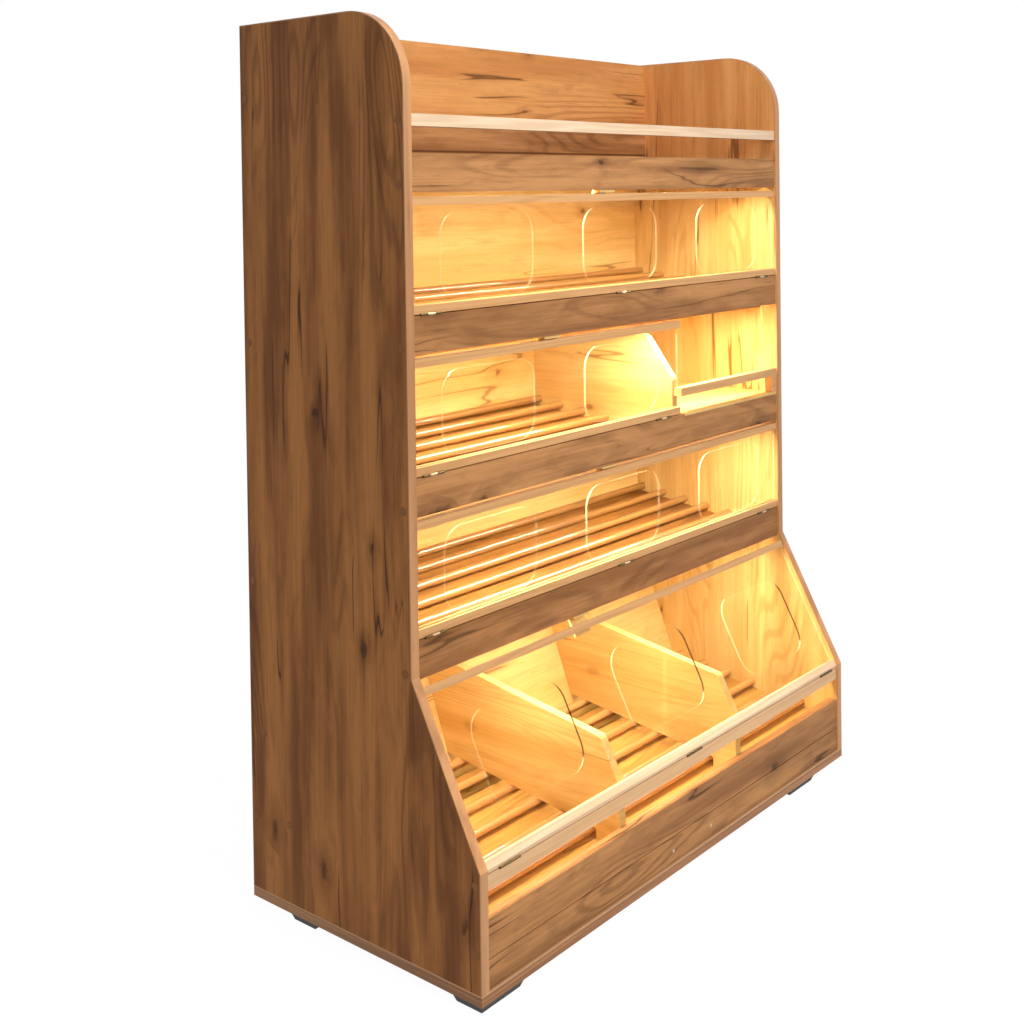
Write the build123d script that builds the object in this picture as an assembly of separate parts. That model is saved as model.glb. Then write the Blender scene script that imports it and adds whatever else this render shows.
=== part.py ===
from build123d import *
import math
import os

# Bread display shelf: a wooden cabinet with three sloped rod shelves, a slanted
# bin below them, four hinged acrylic flaps and a crumb drawer.
# Millimetres. X runs across, the front faces -Y, +Z is up.
# The origin is on the floor, under the middle of the cabinet.

# Cabinet
width = 1200.0
base_depth = 540.0
upper_depth = 400.0
board = 18.0
back_board = 12.0
rear_recess = 6.0
foot_height = 10.0
top_corner_radius = 128.0
band = 2.0
face_recess = 3.0
loose_gap = 0.3

# Fascias and levels
fascia_height = 63.0
level_pitch = 260.0
level_count = 3
top_fascia_top = 1322.0
top_bay_height = 234.0
top_floor_drop = 5.0
bend_above_fascia = 6.0
bend_above_rail = 8.0
fascia_5_bottom = 77.0
fascia_5_height = 62.0
bin_rail_bottom = 184.0
bin_rail_height = 24.0

# Sloped rod shelves
rod_radius = 8.0
rod_slope = math.radians(7.3)
rod_pitch = 60.0
rod_first = 68.0
rod_last_gap = 14.0
rod_drop = 37.6
rod_seat = 6.0
rod_fit = 0.1
rod_to_board = 4.0
shelf_front_setback = 41.0

# Middle level: divider and open shelf
divider_shift = 6.0
divider_step = 71.0
divider_slant_in = 65.0
divider_slant_rise = 87.0
divider_corner = 18.0
divider_air = 2.0
deck_thickness = 5.0
deck_rail = 17.0
deck_rail_rise = 36.0
deck_rail_lap = 12.0
deck_post_width = 20.0

# Top compartment
guard_rail_gap = 43.0
guard_rail_height = 20.0
guard_rail_thickness = 18.0
top_back_setback = 32.0
top_back_head = 2.0

# Bin
bin_divider_shift = 3.0
bin_rod_pitch = 62.0
bin_rod_first = 89.0
bin_rod_last_gap = 25.0
bin_rod_height = 116.2
bin_slat = 12.0
bin_slots = [106.0, 45.0]
bin_slot_width = 18.0
bin_slat_front = 24.0
bin_back_run = 98.0
bin_back_tilt = math.radians(20.2)
bin_back_thickness = 12.0
bin_divider_toe = 73.0
bin_divider_nose = 62.0
bin_divider_slope = math.radians(8.9)
bin_divider_corner = 12.0

# Flaps
flap_thickness = 16.0
flap_top_gap = 7.0
flap_side_gap = 1.5
flap_air = 2.0
flap_rail = 14.0
pane = 4.0
pane_seat = 7.0
pane_fit = 0.2
hole_width = 240.0
hole_corner = 40.0
hole_rise = 20.0
hole_drop = 26.0
flap_2_lap = 2.0
bin_flap_top_gap = 17.3
bin_hole_corner = 42.0
bin_hole_rise = 62.0
bin_hole_drop = 51.0

# Hinges
hinge_gap = 2.0
hinge_length = 50.0
hinge_axis_forward = 1.0
hinge_left_inset = 42.0
hinge_middle = -4.0
hinge_right_inset = 62.0
bin_hinge_left_inset = 55.0
bin_hinge_middle = 9.0
bin_hinge_right_inset = 48.0
knuckle_radius = 2.0
hinge_pin_radius = 0.8
pin_fit = 0.05
leaf = 0.9
leaf_width = 14.0
knuckle_gap = 0.3
hinge_pocket = 0.5

# Magnetic catches
catch_width = 46.0
catch_setback = 2.0
catch_head = 5.0
catch_lip = 4.0
catch_drop = 20.0
catch_air = 0.3
strike = 1.2
strike_height = 12.0
strike_top_margin = 1.0
catch_places = [-49.0, -222.0, -53.0]
bin_catch_place = -146.0

# Lights and their supply
led_width = 16.0
led_height = 10.0
led_wall = 1.2
led_rise = 2.0
led_end_gap = 12.0
driver_size = (180.0, 22.0, 46.0)
driver_rise = 118.0
driver_x = 120.0
gland_radius = 9.0
gland_nut_radius = 12.5
gland_nut = 4.0
gland_bore = 3.5
gland_inset = 252.0
gland_rise = 92.0

# Crumb drawer
drawer_bottom = 30.0
drawer_top_gap = 2.0
drawer_gap = 2.0
drawer_side = 12.0
drawer_side_height = 34.0
drawer_floor = 4.0
drawer_lift = 2.0
drawer_rear_air = 51.0
pull_spacing = 128.0
pull_hole_radius = 2.5
pull_rise = 20.0
runner = 6.0
runner_air = 6.3
runner_height = 30.0
runner_slot = 3.0
runner_bar = 20.0
runner_clearance = 0.3

# Feet
foot_length = 100.0
foot_width = 60.0
foot_taper = 4.0
foot_right_inset = 131.0
foot_rear_inset = 101.0

# Joining screws and their caps
screw_head_radius = 5.0
screw_head = 4.0
screw_radius = 3.0
screw_length = 50.0
screw_fit = 0.15
screw_rise = 12.5
screw_end_air = 1.0
cap_radius = 7.0
cap_thickness = 1.0
cap_sink = 0.6
upper_screw_inset = 14.0
base_screw_inset = 10.0

# How far a cutting shape runs past what it cuts
overrun = 1.0

# Worked out from the sizes above
half_width = width / 2
inner = half_width - board
front = -base_depth / 2
back = base_depth / 2
upper_front = back - upper_depth
face_upper = upper_front + face_recess
face_base = front + face_recess
board_back = back - rear_recess
panel_front = board_back - back_board
floor_z = foot_height
deck_z = floor_z + board
height = top_fascia_top + top_bay_height
level_tops = [top_fascia_top - level_pitch * (i + 1) for i in range(level_count)]
fascia_5_top = fascia_5_bottom + fascia_5_height
bin_rail_top = bin_rail_bottom + bin_rail_height
upper_bend_z = level_tops[-1] - fascia_height + bend_above_fascia
lower_bend_z = bin_rail_top + bend_above_rail
bin_tilt = math.atan2(upper_front - front, upper_bend_z - lower_bend_z)
bin_flap_end = (upper_bend_z - lower_bend_z) / math.cos(bin_tilt) - bin_flap_top_gap
bin_hole_height = bin_flap_end - flap_rail - bin_hole_drop - bin_hole_rise
bay = 2 * inner / 3
divider_x = bay / 2 - divider_shift
bin_divider_x = bay / 2 + bin_divider_shift
flap_2_right = divider_x + flap_2_lap
flap_height = level_pitch - fascia_height - hinge_gap - flap_top_gap
hole_height = flap_height - hole_rise - hole_drop
tray_hinges = [-inner + hinge_left_inset, hinge_middle, inner - hinge_right_inset]
flap_2_hinges = [-inner + hinge_left_inset, flap_2_right - hinge_right_inset]
bin_hinges = [
    -inner + bin_hinge_left_inset,
    bin_hinge_middle,
    inner - bin_hinge_right_inset,
]
drawer_top = fascia_5_bottom - drawer_top_gap
pull_z = drawer_bottom + pull_rise
gland_x = inner - gland_inset
gland_z = deck_z + gland_rise
rod_rise = math.tan(rod_slope)
bin_foot = panel_front - bin_back_run
drawer_length = panel_front - drawer_rear_air - face_base - board


def block(x0, x1, y0, y1, z0, z1):
    """A box between two corners."""
    size = Box(x1 - x0, y1 - y0, z1 - z0)
    return Pos((x0 + x1) / 2, (y0 + y1) / 2, (z0 + z1) / 2) * size


def sheet_face(points):
    """A face in the YZ plane from a list of (y, z) corners."""
    return make_face(Polyline([(0, y, z) for y, z in points], close=True))


def prism(points, x0, x1):
    """A prism along X from a list of (y, z) corners."""
    return Pos(x0, 0, 0) * extrude(sheet_face(points), amount=x1 - x0, dir=(1, 0, 0))


def rod(y, z, radius, x0, x1):
    """A round bar along X."""
    return Pos((x0 + x1) / 2, y, z) * Rot(0, 90, 0) * Cylinder(radius, x1 - x0)


def stud(x, z, radius, y0, y1):
    """A round bar along Y."""
    return Pos(x, (y0 + y1) / 2, z) * Rot(90, 0, 0) * Cylinder(radius, y1 - y0)


def slant(distance, depth):
    """A point on the bin's slanted front, so far up it and so far behind it."""
    y = front + distance * math.sin(bin_tilt) + depth * math.cos(bin_tilt)
    z = lower_bend_z + distance * math.cos(bin_tilt) - depth * math.sin(bin_tilt)
    return y, z


def slant_y(z, depth):
    """Where the slanted plane, so far behind the bin's front, is at a height."""
    rise = (z - lower_bend_z) * math.tan(bin_tilt)
    return front + rise + depth / math.cos(bin_tilt)


def slant_z(y, depth):
    """The height of the same plane at a depth."""
    run = y - front - depth / math.cos(bin_tilt)
    return lower_bend_z + run / math.tan(bin_tilt)


def edge_at(shape, y, z):
    """The edge along X that passes through a (y, z) spot."""
    edges = shape.edges().filter_by(Axis.X)
    return edges.sort_by(lambda edge: math.hypot(edge.center().Y - y, edge.center().Z - z))[0]


def save(name, shapes):
    """Write the solids of one node to its own file."""
    solids = []
    for shape in shapes:
        solids.extend(shape.solids())
    for solid in solids:
        solid.label = name
    whole = solids[0] if len(solids) == 1 else Compound(children=solids)
    export_step(whole, f"parts/{name}.step")


def rod_line(top, y):
    """Height of the rod centres of a level at a depth."""
    start = upper_front + rod_first
    return top - rod_drop + (y - start) * rod_rise


def board_line(top, y):
    """Height of the sloped board's top face at a depth."""
    return rod_line(top, y) - (rod_radius + rod_to_board) / math.cos(rod_slope)


def bin_rod_line(y):
    """Height of the bin's rod centres at a depth."""
    return bin_rod_height + (y - front - bin_rod_first) * rod_rise


def bin_floor_line(y):
    """Height of the bin floor's top face at a depth."""
    return bin_rod_line(y) - (rod_radius + rod_to_board) / math.cos(rod_slope)


def row(first, last, pitch):
    """Evenly spaced depths from the first to the last, about a pitch apart."""
    steps = round((last - first) / pitch)
    return [first + (last - first) * i / steps for i in range(steps + 1)]


def level_rods():
    """Depths of the rods of one upper level."""
    return row(upper_front + rod_first, panel_front - rod_last_gap, rod_pitch)


def bin_rod_places():
    """Depths of the rods of the bin."""
    return row(front + bin_rod_first, bin_foot - bin_rod_last_gap, bin_rod_pitch)


def screw_spots():
    """Depth and height of every joining screw on one side."""
    upper = upper_front + upper_screw_inset
    base = front + base_screw_inset
    spots = [(upper, top_fascia_top + guard_rail_gap + guard_rail_height / 2)]
    tops = [top_fascia_top] + level_tops
    spots += [(upper, top - fascia_height + screw_rise) for top in tops]
    spots.append((base, bin_rail_bottom + bin_rail_height / 2))
    spots.append((base, fascia_5_bottom + screw_rise))
    return spots


def side_outline(inset):
    """The side panel's face, its front and top edges moved in by an inset."""
    y_base = front + inset
    y_top = upper_front + inset
    z_top = height - inset
    shift = inset * math.tan(bin_tilt / 2)
    radius = top_corner_radius - inset
    low = (y_base, lower_bend_z - shift)
    high = (y_top, upper_bend_z - shift)
    start = (y_top, z_top - radius)
    end = (y_top + radius, z_top)
    chord = radius * (1 - math.sqrt(0.5))
    middle = (y_top + chord, z_top - chord)
    lines = [
        Line((0, back, deck_z), (0, y_base, deck_z)),
        Line((0, y_base, deck_z), (0, *low)),
        Line((0, *low), (0, *high)),
        Line((0, *high), (0, *start)),
        ThreePointArc((0, *start), (0, *middle), (0, *end)),
        Line((0, *end), (0, back, z_top)),
        Line((0, back, z_top), (0, back, deck_z)),
    ]
    return make_face(Wire(lines))


def slab(face, x0, thickness):
    """A face in the YZ plane made into a board."""
    return Pos(x0, 0, 0) * extrude(face, amount=thickness, dir=(1, 0, 0))


def build_sides():
    """Side panels with their rod, screw and cap holes, and their edge bands."""
    for side, name in ((-1, "left"), (1, "right")):
        x0 = -half_width if side < 0 else inner
        panel = slab(side_outline(band), x0, board)
        shell = slab(side_outline(0.0), x0, board)
        save(f"side_band_{name}", [shell - panel])
        face_in = side * inner
        end = side * (inner + rod_seat + rod_fit)
        low, high = min(face_in, end), max(face_in, end)
        holes = []
        for top in level_tops:
            if side > 0 and top == level_tops[1]:
                continue
            for y in level_rods():
                holes.append(rod(y, rod_line(top, y), rod_radius + rod_fit, low, high))
        for y in bin_rod_places():
            holes.append(rod(y, bin_rod_line(y), rod_radius + rod_fit, low, high))
        for y, z in screw_spots():
            outer = side * half_width
            inside = side * inner
            holes.append(rod(y, z, screw_radius + screw_fit, min(outer, inside), max(outer, inside)))
            seat = side * (half_width - screw_head - cap_sink)
            holes.append(rod(y, z, screw_head_radius + screw_fit, min(outer, seat), max(outer, seat)))
            sink = side * (half_width - cap_sink)
            holes.append(rod(y, z, cap_radius + screw_fit, min(outer, sink), max(outer, sink)))
        save(f"side_panel_{name}", [panel - holes])


def build_screws():
    """The joining screws and the caps over their heads."""
    screws = []
    caps = []
    for side in (-1, 1):
        for y, z in screw_spots():
            top = side * (half_width - cap_sink)
            under = side * (half_width - cap_sink - screw_head)
            tip = side * (half_width - cap_sink - screw_length)
            head = rod(y, z, screw_head_radius, min(top, under), max(top, under))
            shank = rod(y, z, screw_radius, min(under, tip), max(under, tip))
            screws.append(head + shank)
            outer = side * (half_width - cap_sink + cap_thickness)
            cap = rod(y, z, cap_radius, min(top, outer), max(top, outer))
            caps.append(cap)
    save("joining_screws", screws)
    save("screw_caps", caps)


def screw_bores(z0, z1):
    """Bores for the screws whose height lies between two heights."""
    bores = []
    reach = half_width - cap_sink - screw_length - screw_end_air
    for y, z in screw_spots():
        if z0 < z < z1:
            bores.append(rod(y, z, screw_radius + screw_fit, reach, half_width))
            bores.append(rod(y, z, screw_radius + screw_fit, -half_width, -reach))
    return bores


def hinge_axis(face, top):
    """Depth and height of a flap's hinge axis above a board."""
    return face - hinge_axis_forward, top + hinge_gap / 2


def hinge_pockets(face, top, places):
    """Round pockets that clear the hinge knuckles."""
    y, z = hinge_axis(face, top)
    half = hinge_length / 2 + hinge_pocket
    radius = knuckle_radius + hinge_pocket
    return [rod(y, z, radius, x - half, x + half) for x in places]


def build_fascias():
    """The five cross boards and the bin's fixed rail."""
    uses = [tray_hinges, flap_2_hinges, tray_hinges]
    top = top_fascia_top
    z0 = top - fascia_height
    piece = block(-inner, inner, face_upper, face_upper + board, z0, top)
    save("fascia_1", [piece - screw_bores(z0, top)])
    for number, top in enumerate(level_tops, start=2):
        z0 = top - fascia_height
        piece = block(-inner, inner, face_upper, face_upper + board, z0, top)
        cuts = screw_bores(z0, top) + hinge_pockets(face_upper, top, uses[number - 2])
        if top == level_tops[1]:
            cuts.append(deck_room(face_upper - overrun, top - deck_thickness, top + overrun))
        save(f"fascia_{number}", [piece - cuts])
    base = block(-inner, inner, face_base, face_base + board, fascia_5_bottom, fascia_5_top)
    save("fascia_5", [base - screw_bores(fascia_5_bottom, fascia_5_top)])
    rail = block(-inner, inner, face_base, face_base + board, bin_rail_bottom, bin_rail_top)
    cuts = screw_bores(bin_rail_bottom, bin_rail_top)
    cuts += hinge_pockets(face_base, bin_rail_top, bin_hinges)
    save("bin_fixed_rail", [rail - cuts])


def deck_room(y0, z0, z1):
    """The room that the open shelf's deck takes."""
    return block(divider_x + board, inner, y0, panel_front, z0, z1)


def build_carcass():
    """Bottom board, back panel, top deck, top back panel and guard rail."""
    save("bottom_board", [block(-half_width, half_width, front, back, floor_z, deck_z)])
    bore = stud(gland_x, gland_z, gland_radius + screw_fit, panel_front, board_back)
    shelf_top = top_fascia_top - top_floor_drop
    rear = block(-inner, inner, panel_front, board_back, deck_z, shelf_top - board)
    save("back_panel", [rear - bore])
    top = block(-inner, inner, face_upper + board, board_back, shelf_top - board, shelf_top)
    save("top_shelf_board", [top])
    y0 = panel_front - top_back_setback
    z1 = height - top_back_head
    save("top_back_panel", [block(-inner, inner, y0, y0 + board, shelf_top, z1)])
    z0 = top_fascia_top + guard_rail_gap
    z1 = z0 + guard_rail_height
    rail = block(-inner, inner, face_upper, face_upper + guard_rail_thickness, z0, z1)
    save("top_guard_rail", [rail - screw_bores(z0, z1)])


def build_shelves():
    """The sloped boards under the rods, and the rods of every level."""
    boards_front = upper_front + shelf_front_setback
    for number, top in enumerate(level_tops, start=1):
        drop = board / math.cos(rod_slope)
        near_z = board_line(top, boards_front)
        far_z = board_line(top, panel_front)
        outline = [
            (boards_front, near_z),
            (panel_front, far_z),
            (panel_front, far_z - drop),
            (boards_front, near_z - drop),
        ]
        save(f"shelf_board_{number}", [prism(outline, -inner, inner)])
        right = divider_x if number == 2 else inner
        x0 = -inner - rod_seat
        x1 = right + rod_seat
        rods = [rod(y, rod_line(top, y), rod_radius, x0, x1) for y in level_rods()]
        save(f"rods_level_{number}", rods)
    x0 = -inner - rod_seat
    x1 = inner + rod_seat
    rods = [rod(y, bin_rod_line(y), rod_radius, x0, x1) for y in bin_rod_places()]
    save("rods_bin", rods)


def build_divider():
    """The middle level's divider and the open shelf beside it."""
    top = level_tops[1]
    y0 = face_upper + board
    shelf_y = upper_front + shelf_front_setback
    foot_z = top - fascia_height + led_rise + led_height + divider_air
    y1 = y0 + divider_slant_in
    z1 = top + divider_step
    z2 = z1 + divider_slant_rise
    outline = [
        (y0, foot_z),
        (shelf_y, foot_z),
        (shelf_y, board_line(top, shelf_y)),
        (panel_front, board_line(top, panel_front)),
        (panel_front, z2),
        (y1, z2),
        (y0, z1),
    ]
    piece = prism(outline, divider_x, divider_x + board)
    for y, z in ((y1, z2), (y0, z1)):
        piece = fillet(edge_at(piece, y, z), divider_corner)
    holes = []
    for y in level_rods():
        end = divider_x + rod_seat + rod_fit
        holes.append(rod(y, rod_line(top, y), rod_radius + rod_fit, divider_x, end))
    save("level_2_divider", [piece - holes])
    save("open_shelf_deck", [deck_room(face_upper, top - deck_thickness, top)])
    x0 = divider_x + board - deck_rail_lap
    y1 = face_upper + board
    z0 = top + deck_rail_rise
    save("open_shelf_rail", [block(x0, inner, face_upper, y1, z0, z0 + deck_rail)])
    save("open_shelf_post", [block(inner - deck_post_width, inner, face_upper, y1, top, z0)])


def build_bin():
    """The bin's floor slats, slanted back and two dividers."""
    edges = [front + bin_slat_front]
    for slot in bin_slots:
        edges += [bin_foot - slot, bin_foot - slot + bin_slot_width]
    back_run = bin_back_thickness / math.cos(bin_back_tilt)
    edges.append(bin_foot + back_run)
    drop = bin_slat / math.cos(rod_slope)
    slats = []
    for y0, y1 in zip(edges[0::2], edges[1::2]):
        z0, z1 = bin_floor_line(y0), bin_floor_line(y1)
        slats.append(prism([(y0, z0), (y1, z1), (y1, z1 - drop), (y0, z0 - drop)], -inner, inner))
    save("bin_floor_slats", slats)
    lean = math.tan(bin_back_tilt)
    z_foot = bin_floor_line(bin_foot)
    z_foot_rear = bin_floor_line(bin_foot + back_run)
    z_head = z_foot + (panel_front - bin_foot) / lean
    outline = [
        (bin_foot, z_foot),
        (panel_front, z_head),
        (panel_front, z_head - back_run / lean),
        (bin_foot + back_run, z_foot_rear),
    ]
    save("bin_back_board", [prism(outline, -inner, inner)])
    build_bin_dividers(z_foot, lean)


def build_bin_dividers(z_foot, lean):
    """The two dividers that stand between the bin's slanted front and back."""

    def meet_back(start, slope):
        """Where the line z = start + slope * y meets the slanted back."""
        y = (bin_foot - loose_gap + (start - z_foot) * lean) / (1 - slope * lean)
        return y, start + slope * y

    over = rod_radius / math.cos(rod_slope) + loose_gap
    depth = face_recess + flap_thickness + flap_air
    y0 = face_base + board + loose_gap
    slat_y = front + bin_slat_front
    toe = front + bin_divider_toe
    nose_y = front + bin_divider_nose
    nose_z = slant_z(nose_y, depth)
    rise = math.tan(bin_divider_slope)
    outline = [
        (slat_y, bin_floor_line(slat_y)),
        (toe, bin_floor_line(toe)),
        (toe, bin_rod_line(toe) + over),
        meet_back(bin_rod_line(0) + over, rod_rise),
        meet_back(nose_z - nose_y * rise, rise),
        (nose_y, nose_z),
        (y0, slant_z(y0, depth)),
        (y0, bin_floor_line(slat_y)),
    ]
    for side, name in ((-1, "left"), (1, "right")):
        middle = side * bin_divider_x
        piece = prism(outline, middle - board / 2, middle + board / 2)
        piece = fillet(edge_at(piece, nose_y, nose_z), bin_divider_corner)
        save(f"bin_divider_{name}", [piece])


def window(x, z0, tall, corner, y0, y1):
    """A rounded hand hole through an upright pane."""
    plane = Plane((x, y0, z0 + tall / 2), x_dir=(1, 0, 0), z_dir=(0, 1, 0))
    return extrude(plane * RectangleRounded(hole_width, tall, corner), amount=y1 - y0)


def fixed_leaves(face, top, places):
    """The cabinet's half of each hinge, with its pin."""
    y, z = hinge_axis(face, top)
    third = hinge_length / 3
    reach = face + leaf_width
    clear = y + knuckle_radius + knuckle_gap
    pieces = []
    for x in places:
        x0 = x - hinge_length / 2
        x1 = x + hinge_length / 2
        plate = block(x0, x1, clear, reach, top, top + leaf)
        for a, b in ((x0, x0 + third), (x1 - third, x1)):
            plate += rod(y, z, knuckle_radius, a, b)
            plate += block(a, b, y, clear, top, top + leaf)
        plate -= rod(y, z, hinge_pin_radius + pin_fit, x0, x1)
        pieces.append(plate)
        pieces.append(rod(y, z, hinge_pin_radius, x0, x1))
    return pieces


def moving_leaves(face, top, places):
    """The flap's half of each hinge."""
    y, z = hinge_axis(face, top)
    third = hinge_length / 3
    reach = face + leaf_width
    clear = y + knuckle_radius + knuckle_gap
    z1 = top + hinge_gap
    pieces = []
    for x in places:
        x0 = x - hinge_length / 2
        x1 = x + hinge_length / 2
        a = x0 + third + knuckle_gap
        b = x1 - third - knuckle_gap
        plate = block(x0, x1, clear, reach, z1 - leaf, z1)
        plate += rod(y, z, knuckle_radius, a, b)
        plate += block(a, b, y, clear, z1 - leaf, z1)
        pieces.append(plate - rod(y, z, hinge_pin_radius + pin_fit, x0, x1))
    return pieces


def build_flap(name, top, x0, x1, places, holes, catch_x):
    """One upright flap: two rails, the acrylic pane, hinge leaves and strike."""
    face = face_upper
    z0 = top + hinge_gap
    z1 = z0 + flap_height
    y_rear = face + flap_thickness
    pane_y0 = face + (flap_thickness - pane) / 2
    pane_z0 = z0 + flap_rail - pane_seat
    pane_z1 = z1 - flap_rail + pane_seat
    sheet = block(x0, x1, pane_y0, pane_y0 + pane, pane_z0, pane_z1)
    groove = block(x0 - overrun, x1 + overrun, pane_y0 - pane_fit, pane_y0 + pane + pane_fit,
                   pane_z0 - pane_fit, pane_z1 + pane_fit)
    low = block(x0, x1, face, y_rear, z0, z0 + flap_rail) - groove
    high = block(x0, x1, face, y_rear, z1 - flap_rail, z1) - groove
    low = low - hinge_pockets(face, top, places)
    for x in holes:
        sheet -= window(x, z0 + hole_rise, hole_height, hole_corner, face, y_rear)
    save(f"{name}_bottom_rail", [low])
    save(f"{name}_top_rail", [high])
    save(f"{name}_pane", [sheet])
    half = catch_width / 2
    z_strike = z1 - strike_top_margin
    plate = block(catch_x - half, catch_x + half, y_rear, y_rear + strike,
                  z_strike - strike_height, z_strike)
    save(f"{name}_hardware", moving_leaves(face, top, places) + [plate])


def build_bin_flap():
    """The slanted flap: rails, pane, hinge leaves and strike."""
    x0 = -inner + flap_side_gap
    x1 = inner - flap_side_gap
    z0 = bin_rail_top + hinge_gap
    shell = face_recess
    rear = shell + flap_thickness
    bend = slant_z(face_base, shell)
    rail_up = bin_flap_end - flap_rail
    rail_low = (z0 + board - lower_bend_z) / math.cos(bin_tilt)
    low = [
        (face_base, z0),
        (slant_y(z0, rear), z0),
        slant(rail_low, rear),
        slant(rail_low, shell),
        (face_base, bend),
    ]
    high = [
        slant(rail_up, shell),
        slant(rail_up, rear),
        slant(bin_flap_end, rear),
        slant(bin_flap_end, shell),
    ]
    pane_in = shell + (flap_thickness - pane) / 2
    s0 = rail_low - pane_seat
    s1 = rail_up + pane_seat
    strip = [
        slant(s0, pane_in),
        slant(s0, pane_in + pane),
        slant(s1, pane_in + pane),
        slant(s1, pane_in),
    ]
    fit = pane_fit
    slot = [
        slant(s0 - fit, pane_in - fit),
        slant(s0 - fit, pane_in + pane + fit),
        slant(s1 + fit, pane_in + pane + fit),
        slant(s1 + fit, pane_in - fit),
    ]
    groove = prism(slot, x0 - overrun, x1 + overrun)
    low_rail = prism(low, x0, x1) - groove
    low_rail = low_rail - hinge_pockets(face_base, bin_rail_top, bin_hinges)
    save("flap_bin_bottom_rail", [low_rail])
    save("flap_bin_top_rail", [prism(high, x0, x1) - groove])
    sheet = prism(strip, x0, x1)
    middle = bin_hole_rise + bin_hole_height / 2
    for x in (-bay, 0.0, bay):
        y, z = slant(middle, shell)
        inward = (0, math.cos(bin_tilt), -math.sin(bin_tilt))
        plane = Plane((x, y, z), x_dir=(1, 0, 0), z_dir=inward)
        cut = RectangleRounded(hole_width, bin_hole_height, bin_hole_corner)
        sheet -= extrude(plane * cut, amount=flap_thickness)
    save("flap_bin_pane", [sheet])
    s_strike = bin_flap_end - strike_top_margin
    plate = [
        slant(s_strike - strike_height, rear),
        slant(s_strike - strike_height, rear + strike),
        slant(s_strike, rear + strike),
        slant(s_strike, rear),
    ]
    half = catch_width / 2
    hardware = moving_leaves(face_base, bin_rail_top, bin_hinges)
    hardware.append(prism(plate, bin_catch_place - half, bin_catch_place + half))
    save("flap_bin_hardware", hardware)


def build_flaps():
    """Every flap, the hinge halves on the cabinet and the magnetic catches."""
    left = -inner + flap_side_gap
    right = inner - flap_side_gap
    holes = [-bay, 0.0, bay]
    build_flap("flap_1", level_tops[0], left, right, tray_hinges, holes, catch_places[0])
    build_flap("flap_2", level_tops[1], left, flap_2_right, flap_2_hinges,
               holes[:2], catch_places[1])
    build_flap("flap_3", level_tops[2], left, right, tray_hinges, holes, catch_places[2])
    build_bin_flap()
    leaves = fixed_leaves(face_upper, level_tops[0], tray_hinges)
    leaves += fixed_leaves(face_upper, level_tops[1], flap_2_hinges)
    leaves += fixed_leaves(face_upper, level_tops[2], tray_hinges)
    leaves += fixed_leaves(face_base, bin_rail_top, bin_hinges)
    save("hinge_leaves_cabinet", leaves)
    catches = []
    half = catch_width / 2
    ceilings = [top_fascia_top] + level_tops[:2]
    for x, top in zip(catch_places, ceilings):
        z1 = top - fascia_height
        y_lip = face_upper + flap_thickness + strike + catch_air
        head = block(x - half, x + half, face_upper + catch_setback, y_lip, z1 - catch_head, z1)
        lip = block(x - half, x + half, y_lip, y_lip + catch_lip, z1 - catch_drop, z1)
        catches.append(head + lip)
    z1 = level_tops[2] - fascia_height
    x = bin_catch_place
    depth = face_recess + flap_thickness + strike + catch_air
    low_s = bin_flap_end - catch_drop
    lip = [
        slant(low_s, depth),
        (slant_y(z1, depth), z1),
        (slant_y(z1, depth + catch_lip), z1),
        slant(low_s, depth + catch_lip),
    ]
    y_lip = slant_y(z1, depth + catch_lip / 2)
    head = block(x - half, x + half, face_upper + catch_setback, y_lip, z1 - catch_head, z1)
    catches.append(head + prism(lip, x - half, x + half))
    save("magnetic_catches", catches)


def build_lights():
    """Light channels behind the fascias, their diffusers, driver and gland."""
    x0 = -inner + led_end_gap
    x1 = inner - led_end_gap
    y0 = face_upper + board
    y1 = y0 + led_width
    channels = []
    diffusers = []
    for top in [top_fascia_top] + level_tops:
        z0 = top - fascia_height + led_rise
        z1 = z0 + led_height
        outer = block(x0, x1, y0, y1, z0, z1)
        hollow = block(x0, x1, y0 + led_wall, y1 - led_wall, z0, z1 - led_wall)
        channels.append(outer - hollow)
        diffusers.append(block(x0, x1, y0 + led_wall, y1 - led_wall, z0, z0 + led_wall))
    save("light_channels", channels)
    save("light_diffusers", diffusers)
    rear = panel_front - top_back_setback + board
    long, thick, tall = driver_size
    z0 = top_fascia_top + driver_rise - tall / 2
    x0 = driver_x - long / 2
    save("light_driver", [block(x0, x0 + long, rear, rear + thick, z0, z0 + tall)])
    stem = stud(gland_x, gland_z, gland_radius, panel_front, board_back)
    nut = stud(gland_x, gland_z, gland_nut_radius, board_back, board_back + gland_nut)
    bore = stud(gland_x, gland_z, gland_bore, panel_front, board_back + gland_nut)
    save("cable_gland", [stem + nut - bore])


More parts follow.
